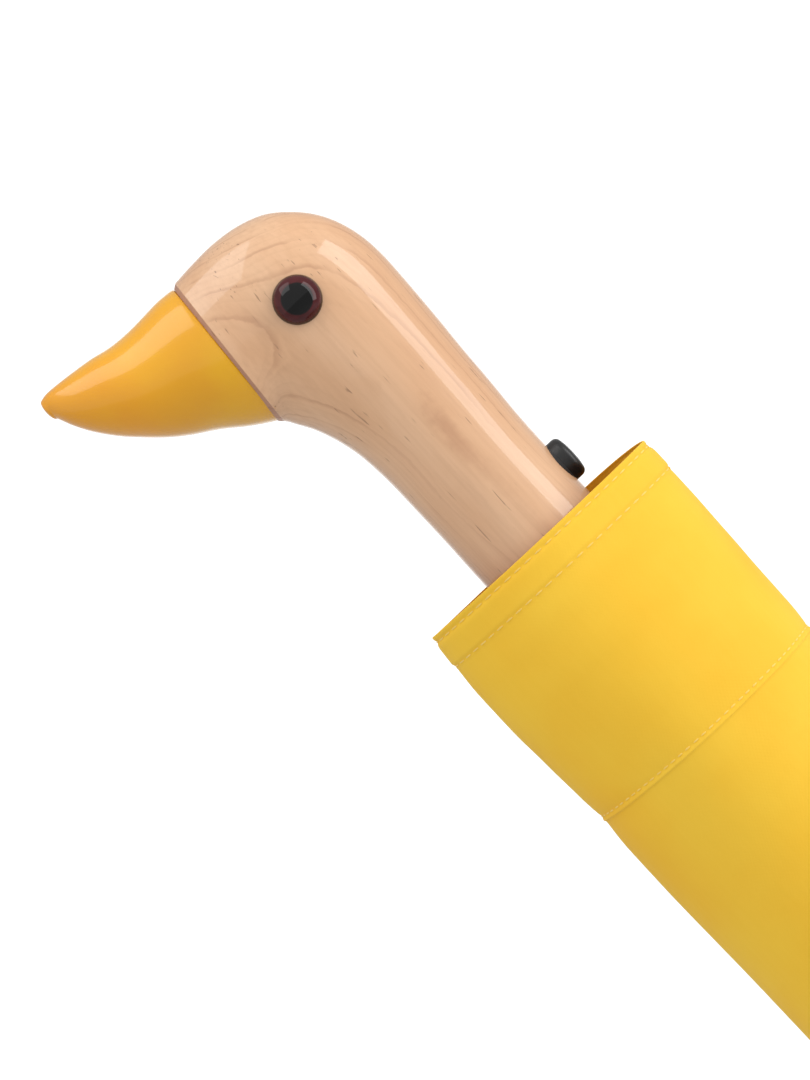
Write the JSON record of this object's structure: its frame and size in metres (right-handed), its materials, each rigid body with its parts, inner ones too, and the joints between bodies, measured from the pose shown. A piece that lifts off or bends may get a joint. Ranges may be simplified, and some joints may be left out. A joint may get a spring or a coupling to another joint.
{
  "type": "folding umbrella",
  "caption": "Compact folding umbrella with a carved bird-head wooden handle, stored in its fabric sleeve. It has a push button, a telescoping shaft and ribs that fold.",
  "frame": {"origin": "on the shaft's axis, in the middle of the grip, 25 mm above the sleeve's opening", "axes": "+Z along the shaft towards the head, -X towards the tip of the bill, +Y across"},
  "size_m": [0.0951, 0.0474, 0.3415],
  "materials": {
    "wood": "pale maple under clear gloss lacquer",
    "bill_paint": "golden yellow gloss paint",
    "eye": "clear domed, dark red-brown iris and black pupil",
    "button": "satin black",
    "hub_plastic": "moulded black",
    "shaft_steel": "bright plated tube",
    "spring_steel": "drawn wire",
    "rib_steel": "black painted channel",
    "rib_tip_rod": "plated rod",
    "canopy_fabric": "thin plain-woven polyester, yellow",
    "sleeve_fabric": "smooth fine-woven polyester, yellow"
  },
  "bodies": {
    "handle": {"head_and_neck": "wood", "bill": "bill_paint", "eye_left": "eye", "eye_right": "eye", "neck_ferrule": "hub_plastic", "neck_pin": "shaft_steel", "button_spring": "spring_steel", "tube_outer": "shaft_steel"},
    "button": {"release_button": "button"},
    "shaft_middle": {"tube_middle": "shaft_steel"},
    "shaft_inner": {"tube_inner": "shaft_steel", "crown": "hub_plastic", "top_cap": "hub_plastic", "main_spring": "spring_steel", "tie_strap": "canopy_fabric"},
    "runner": {"runner": "hub_plastic"},
    "sleeve": {"sleeve_cuff": "sleeve_fabric", "sleeve_body": "sleeve_fabric"},
    "rib_inner_1": {"rib_inner_1": "rib_steel"},
    "rib_middle_1": {"rib_middle_1": "rib_steel"},
    "rib_outer_1": {"rib_outer_1": "rib_tip_rod"},
    "stretcher_1": {"stretcher_1": "rib_steel"},
    "gore_inner_1": {"gore_inner_1": "canopy_fabric"},
    "gore_middle_1": {"gore_middle_1": "canopy_fabric"},
    "gore_outer_1": {"gore_outer_1": "canopy_fabric"},
    "rib_inner_2": {"rib_inner_2": "rib_steel"},
    "rib_middle_2": {"rib_middle_2": "rib_steel"},
    "rib_outer_2": {"rib_outer_2": "rib_tip_rod"},
    "stretcher_2": {"stretcher_2": "rib_steel"},
    "gore_inner_2": {"gore_inner_2": "canopy_fabric"},
    "gore_middle_2": {"gore_middle_2": "canopy_fabric"},
    "gore_outer_2": {"gore_outer_2": "canopy_fabric"},
    "rib_inner_3": {"rib_inner_3": "rib_steel"},
    "rib_middle_3": {"rib_middle_3": "rib_steel"},
    "rib_outer_3": {"rib_outer_3": "rib_tip_rod"},
    "stretcher_3": {"stretcher_3": "rib_steel"},
    "gore_inner_3": {"gore_inner_3": "canopy_fabric"},
    "gore_middle_3": {"gore_middle_3": "canopy_fabric"},
    "gore_outer_3": {"gore_outer_3": "canopy_fabric"},
    "rib_inner_4": {"rib_inner_4": "rib_steel"},
    "rib_middle_4": {"rib_middle_4": "rib_steel"},
    "rib_outer_4": {"rib_outer_4": "rib_tip_rod"},
    "stretcher_4": {"stretcher_4": "rib_steel"},
    "gore_inner_4": {"gore_inner_4": "canopy_fabric"},
    "gore_middle_4": {"gore_middle_4": "canopy_fabric"},
    "gore_outer_4": {"gore_outer_4": "canopy_fabric"},
    "rib_inner_5": {"rib_inner_5": "rib_steel"},
    "rib_middle_5": {"rib_middle_5": "rib_steel"},
    "rib_outer_5": {"rib_outer_5": "rib_tip_rod"},
    "stretcher_5": {"stretcher_5": "rib_steel"},
    "gore_inner_5": {"gore_inner_5": "canopy_fabric"},
    "gore_middle_5": {"gore_middle_5": "canopy_fabric"},
    "gore_outer_5": {"gore_outer_5": "canopy_fabric"},
    "rib_inner_6": {"rib_inner_6": "rib_steel"},
    "rib_middle_6": {"rib_middle_6": "rib_steel"},
    "rib_outer_6": {"rib_outer_6": "rib_tip_rod"},
    "stretcher_6": {"stretcher_6": "rib_steel"},
    "gore_inner_6": {"gore_inner_6": "canopy_fabric"},
    "gore_middle_6": {"gore_middle_6": "canopy_fabric"},
    "gore_outer_6": {"gore_outer_6": "canopy_fabric"}
  },
  "joints": [
    {"name": "sleeve_off", "type": "slide", "parent": "shaft_inner", "child": "sleeve", "axis": [0, 0, -1], "range_m": [0, 0.26]},
    {"name": "button_press", "type": "slide", "parent": "handle", "child": "button", "axis": [-1, 0, 0], "range_m": [0, 0.0022], "stiffness_N_per_m": 700, "deforming": ["button_spring"]},
    {"name": "shaft_extend", "type": "slide", "parent": "handle", "child": "shaft_middle", "axis": [0, 0, -1], "range_m": [0, 0.15], "deforming": ["main_spring"]},
    {"name": "shaft_extend_inner", "type": "slide", "parent": "shaft_middle", "child": "shaft_inner", "axis": [0, 0, -1], "range_m": [0, 0.15]},
    {"name": "frame_open", "type": "hinge", "parent": "shaft_inner", "child": "rib_inner_1", "pos_m": [0.011, 0, -0.244], "axis": [0, 1, 0], "range_deg": [0, 82], "deforming": ["gore_inner_1", "gore_inner_2", "gore_inner_3", "gore_inner_4", "gore_inner_5", "gore_inner_6", "gore_middle_1", "gore_middle_2", "gore_middle_3", "gore_middle_4", "gore_middle_5", "gore_middle_6", "gore_outer_1", "gore_outer_2", "gore_outer_3", "gore_outer_4", "gore_outer_5", "gore_outer_6", "tie_strap", "sleeve_cuff", "sleeve_body"]},
    {"name": "rib_middle_turn_1", "type": "hinge", "parent": "rib_inner_1", "child": "rib_middle_1", "pos_m": [0.011, 0, -0.084], "axis": [0, 1, 0], "range_deg": [-190, 0]},
    {"name": "rib_outer_turn_1", "type": "hinge", "parent": "rib_middle_1", "child": "rib_outer_1", "pos_m": [0.011, 0, -0.234], "axis": [0, 1, 0], "range_deg": [0, 170]},
    {"name": "stretcher_turn_1", "type": "hinge", "parent": "rib_inner_1", "child": "stretcher_1", "pos_m": [0.011, 0, -0.164], "axis": [0, 1, 0], "range_deg": [-164, 0]},
    {"name": "runner_turn", "type": "hinge", "parent": "stretcher_1", "child": "runner", "pos_m": [0.011, 0, -0.084], "axis": [0, 1, 0], "range_deg": [0, 82]},
    {"name": "gore_inner_spread_1", "type": "hinge", "parent": "rib_inner_1", "child": "gore_inner_1", "pos_m": [-0.04995, 0, -0.24654], "axis": [-0.9903, 0, 0.1392], "range_deg": [0, 60]},
    {"name": "gore_middle_spread_1", "type": "hinge", "parent": "rib_middle_1", "child": "gore_middle_1", "pos_m": [0.09925, 0, 0.06549], "axis": [0.9511, 0, -0.309], "range_deg": [0, 60]},
    {"name": "gore_outer_spread_1", "type": "hinge", "parent": "rib_outer_1", "child": "gore_outer_1", "pos_m": [-0.12791, 0, -0.51362], "axis": [-0.8829, 0, 0.4695], "range_deg": [0, 60]},
    {"name": "rib_inner_turn_2", "type": "hinge", "parent": "shaft_inner", "child": "rib_inner_2", "pos_m": [0.0055, 0.00953, -0.244], "axis": [-0.866, 0.5, 0], "range_deg": [0, 82]},
    {"name": "rib_middle_turn_2", "type": "hinge", "parent": "rib_inner_2", "child": "rib_middle_2", "pos_m": [0.0055, 0.00953, -0.084], "axis": [-0.866, 0.5, 0], "range_deg": [-190, 0]},
    {"name": "rib_outer_turn_2", "type": "hinge", "parent": "rib_middle_2", "child": "rib_outer_2", "pos_m": [0.0055, 0.00953, -0.234], "axis": [-0.866, 0.5, 0], "range_deg": [0, 170]},
    {"name": "stretcher_turn_2", "type": "hinge", "parent": "rib_inner_2", "child": "stretcher_2", "pos_m": [0.0055, 0.00953, -0.164], "axis": [-0.866, 0.5, 0], "range_deg": [-164, 0]},
    {"name": "gore_inner_spread_2", "type": "hinge", "parent": "rib_inner_2", "child": "gore_inner_2", "pos_m": [-0.02497, -0.04326, -0.24654], "axis": [-0.4951, -0.8576, 0.1392], "range_deg": [0, 60]},
    {"name": "gore_middle_spread_2", "type": "hinge", "parent": "rib_middle_2", "child": "gore_middle_2", "pos_m": [0.04962, 0.08595, 0.06549], "axis": [0.4755, 0.8236, -0.309], "range_deg": [0, 60]},
    {"name": "gore_outer_spread_2", "type": "hinge", "parent": "rib_outer_2", "child": "gore_outer_2", "pos_m": [-0.06396, -0.11077, -0.51362], "axis": [-0.4415, -0.7647, 0.4695], "range_deg": [0, 60]},
    {"name": "rib_inner_turn_3", "type": "hinge", "parent": "shaft_inner", "child": "rib_inner_3", "pos_m": [-0.0055, 0.00953, -0.244], "axis": [-0.866, -0.5, 0], "range_deg": [0, 82]},
    {"name": "rib_middle_turn_3", "type": "hinge", "parent": "rib_inner_3", "child": "rib_middle_3", "pos_m": [-0.0055, 0.00953, -0.084], "axis": [-0.866, -0.5, 0], "range_deg": [-190, 0]},
    {"name": "rib_outer_turn_3", "type": "hinge", "parent": "rib_middle_3", "child": "rib_outer_3", "pos_m": [-0.0055, 0.00953, -0.234], "axis": [-0.866, -0.5, 0], "range_deg": [0, 170]},
    {"name": "stretcher_turn_3", "type": "hinge", "parent": "rib_inner_3", "child": "stretcher_3", "pos_m": [-0.0055, 0.00953, -0.164], "axis": [-0.866, -0.5, 0], "range_deg": [-164, 0]},
    {"name": "gore_inner_spread_3", "type": "hinge", "parent": "rib_inner_3", "child": "gore_inner_3", "pos_m": [0.02497, -0.04326, -0.24654], "axis": [0.4951, -0.8576, 0.1392], "range_deg": [0, 60]},
    {"name": "gore_middle_spread_3", "type": "hinge", "parent": "rib_middle_3", "child": "gore_middle_3", "pos_m": [-0.04962, 0.08595, 0.06549], "axis": [-0.4755, 0.8236, -0.309], "range_deg": [0, 60]},
    {"name": "gore_outer_spread_3", "type": "hinge", "parent": "rib_outer_3", "child": "gore_outer_3", "pos_m": [0.06396, -0.11077, -0.51362], "axis": [0.4415, -0.7647, 0.4695], "range_deg": [0, 60]},
    {"name": "rib_inner_turn_4", "type": "hinge", "parent": "shaft_inner", "child": "rib_inner_4", "pos_m": [-0.011, 0, -0.244], "axis": [0, -1, 0], "range_deg": [0, 82]},
    {"name": "rib_middle_turn_4", "type": "hinge", "parent": "rib_inner_4", "child": "rib_middle_4", "pos_m": [-0.011, 0, -0.084], "axis": [0, -1, 0], "range_deg": [-190, 0]},
    {"name": "rib_outer_turn_4", "type": "hinge", "parent": "rib_middle_4", "child": "rib_outer_4", "pos_m": [-0.011, 0, -0.234], "axis": [0, -1, 0], "range_deg": [0, 170]},
    {"name": "stretcher_turn_4", "type": "hinge", "parent": "rib_inner_4", "child": "stretcher_4", "pos_m": [-0.011, 0, -0.164], "axis": [0, -1, 0], "range_deg": [-164, 0]},
    {"name": "gore_inner_spread_4", "type": "hinge", "parent": "rib_inner_4", "child": "gore_inner_4", "pos_m": [0.04995, 0, -0.24654], "axis": [0.9903, 0, 0.1392], "range_deg": [0, 60]},
    {"name": "gore_middle_spread_4", "type": "hinge", "parent": "rib_middle_4", "child": "gore_middle_4", "pos_m": [-0.09925, 0, 0.06549], "axis": [-0.9511, 0, -0.309], "range_deg": [0, 60]},
    {"name": "gore_outer_spread_4", "type": "hinge", "parent": "rib_outer_4", "child": "gore_outer_4", "pos_m": [0.12791, 0, -0.51362], "axis": [0.8829, 0, 0.4695], "range_deg": [0, 60]},
    {"name": "rib_inner_turn_5", "type": "hinge", "parent": "shaft_inner", "child": "rib_inner_5", "pos_m": [-0.0055, -0.00953, -0.244], "axis": [0.866, -0.5, 0], "range_deg": [0, 82]},
    {"name": "rib_middle_turn_5", "type": "hinge", "parent": "rib_inner_5", "child": "rib_middle_5", "pos_m": [-0.0055, -0.00953, -0.084], "axis": [0.866, -0.5, 0], "range_deg": [-190, 0]},
    {"name": "rib_outer_turn_5", "type": "hinge", "parent": "rib_middle_5", "child": "rib_outer_5", "pos_m": [-0.0055, -0.00953, -0.234], "axis": [0.866, -0.5, 0], "range_deg": [0, 170]},
    {"name": "stretcher_turn_5", "type": "hinge", "parent": "rib_inner_5", "child": "stretcher_5", "pos_m": [-0.0055, -0.00953, -0.164], "axis": [0.866, -0.5, 0], "range_deg": [-164, 0]},
    {"name": "gore_inner_spread_5", "type": "hinge", "parent": "rib_inner_5", "child": "gore_inner_5", "pos_m": [0.02497, 0.04326, -0.24654], "axis": [0.4951, 0.8576, 0.1392], "range_deg": [0, 60]},
    {"name": "gore_middle_spread_5", "type": "hinge", "parent": "rib_middle_5", "child": "gore_middle_5", "pos_m": [-0.04962, -0.08595, 0.06549], "axis": [-0.4755, -0.8236, -0.309], "range_deg": [0, 60]},
    {"name": "gore_outer_spread_5", "type": "hinge", "parent": "rib_outer_5", "child": "gore_outer_5", "pos_m": [0.06396, 0.11077, -0.51362], "axis": [0.4415, 0.7647, 0.4695], "range_deg": [0, 60]},
    {"name": "rib_inner_turn_6", "type": "hinge", "parent": "shaft_inner", "child": "rib_inner_6", "pos_m": [0.0055, -0.00953, -0.244], "axis": [0.866, 0.5, 0], "range_deg": [0, 82]},
    {"name": "rib_middle_turn_6", "type": "hinge", "parent": "rib_inner_6", "child": "rib_middle_6", "pos_m": [0.0055, -0.00953, -0.084], "axis": [0.866, 0.5, 0], "range_deg": [-190, 0]},
    {"name": "rib_outer_turn_6", "type": "hinge", "parent": "rib_middle_6", "child": "rib_outer_6", "pos_m": [0.0055, -0.00953, -0.234], "axis": [0.866, 0.5, 0], "range_deg": [0, 170]},
    {"name": "stretcher_turn_6", "type": "hinge", "parent": "rib_inner_6", "child": "stretcher_6", "pos_m": [0.0055, -0.00953, -0.164], "axis": [0.866, 0.5, 0], "range_deg": [-164, 0]},
    {"name": "gore_inner_spread_6", "type": "hinge", "parent": "rib_inner_6", "child": "gore_inner_6", "pos_m": [-0.02497, 0.04326, -0.24654], "axis": [-0.4951, 0.8576, 0.1392], "range_deg": [0, 60]},
    {"name": "gore_middle_spread_6", "type": "hinge", "parent": "rib_middle_6", "child": "gore_middle_6", "pos_m": [0.04962, -0.08595, 0.06549], "axis": [0.4755, -0.8236, -0.309], "range_deg": [0, 60]},
    {"name": "gore_outer_spread_6", "type": "hinge", "parent": "rib_outer_6", "child": "gore_outer_6", "pos_m": [-0.06396, 0.11077, -0.51362], "axis": [-0.4415, 0.7647, 0.4695], "range_deg": [0, 60]}
  ],
  "couplings": [
    {"joint": "shaft_extend_inner", "follows": "shaft_extend", "ratio": 1},
    {"joint": "rib_middle_turn_1", "follows": "frame_open", "ratio": -2.3171},
    {"joint": "rib_outer_turn_1", "follows": "frame_open", "ratio": 2.0732},
    {"joint": "stretcher_turn_1", "follows": "frame_open", "ratio": -2},
    {"joint": "runner_turn", "follows": "frame_open", "ratio": 1},
    {"joint": "gore_inner_spread_1", "follows": "frame_open", "ratio": 0.73171},
    {"joint": "gore_middle_spread_1", "follows": "frame_open", "ratio": 0.73171},
    {"joint": "gore_outer_spread_1", "follows": "frame_open", "ratio": 0.73171},
    {"joint": "rib_inner_turn_2", "follows": "frame_open", "ratio": 1},
    {"joint": "rib_middle_turn_2", "follows": "frame_open", "ratio": -2.3171},
    {"joint": "rib_outer_turn_2", "follows": "frame_open", "ratio": 2.0732},
    {"joint": "stretcher_turn_2", "follows": "frame_open", "ratio": -2},
    {"joint": "gore_inner_spread_2", "follows": "frame_open", "ratio": 0.73171},
    {"joint": "gore_middle_spread_2", "follows": "frame_open", "ratio": 0.73171},
    {"joint": "gore_outer_spread_2", "follows": "frame_open", "ratio": 0.73171},
    {"joint": "rib_inner_turn_3", "follows": "frame_open", "ratio": 1},
    {"joint": "rib_middle_turn_3", "follows": "frame_open", "ratio": -2.3171},
    {"joint": "rib_outer_turn_3", "follows": "frame_open", "ratio": 2.0732},
    {"joint": "stretcher_turn_3", "follows": "frame_open", "ratio": -2},
    {"joint": "gore_inner_spread_3", "follows": "frame_open", "ratio": 0.73171},
    {"joint": "gore_middle_spread_3", "follows": "frame_open", "ratio": 0.73171},
    {"joint": "gore_outer_spread_3", "follows": "frame_open", "ratio": 0.73171},
    {"joint": "rib_inner_turn_4", "follows": "frame_open", "ratio": 1},
    {"joint": "rib_middle_turn_4", "follows": "frame_open", "ratio": -2.3171},
    {"joint": "rib_outer_turn_4", "follows": "frame_open", "ratio": 2.0732},
    {"joint": "stretcher_turn_4", "follows": "frame_open", "ratio": -2},
    {"joint": "gore_inner_spread_4", "follows": "frame_open", "ratio": 0.73171},
    {"joint": "gore_middle_spread_4", "follows": "frame_open", "ratio": 0.73171},
    {"joint": "gore_outer_spread_4", "follows": "frame_open", "ratio": 0.73171},
    {"joint": "rib_inner_turn_5", "follows": "frame_open", "ratio": 1},
    {"joint": "rib_middle_turn_5", "follows": "frame_open", "ratio": -2.3171},
    {"joint": "rib_outer_turn_5", "follows": "frame_open", "ratio": 2.0732},
    {"joint": "stretcher_turn_5", "follows": "frame_open", "ratio": -2},
    {"joint": "gore_inner_spread_5", "follows": "frame_open", "ratio": 0.73171},
    {"joint": "gore_middle_spread_5", "follows": "frame_open", "ratio": 0.73171},
    {"joint": "gore_outer_spread_5", "follows": "frame_open", "ratio": 0.73171},
    {"joint": "rib_inner_turn_6", "follows": "frame_open", "ratio": 1},
    {"joint": "rib_middle_turn_6", "follows": "frame_open", "ratio": -2.3171},
    {"joint": "rib_outer_turn_6", "follows": "frame_open", "ratio": 2.0732},
    {"joint": "stretcher_turn_6", "follows": "frame_open", "ratio": -2},
    {"joint": "gore_inner_spread_6", "follows": "frame_open", "ratio": 0.73171},
    {"joint": "gore_middle_spread_6", "follows": "frame_open", "ratio": 0.73171},
    {"joint": "gore_outer_spread_6", "follows": "frame_open", "ratio": 0.73171}
  ]
}
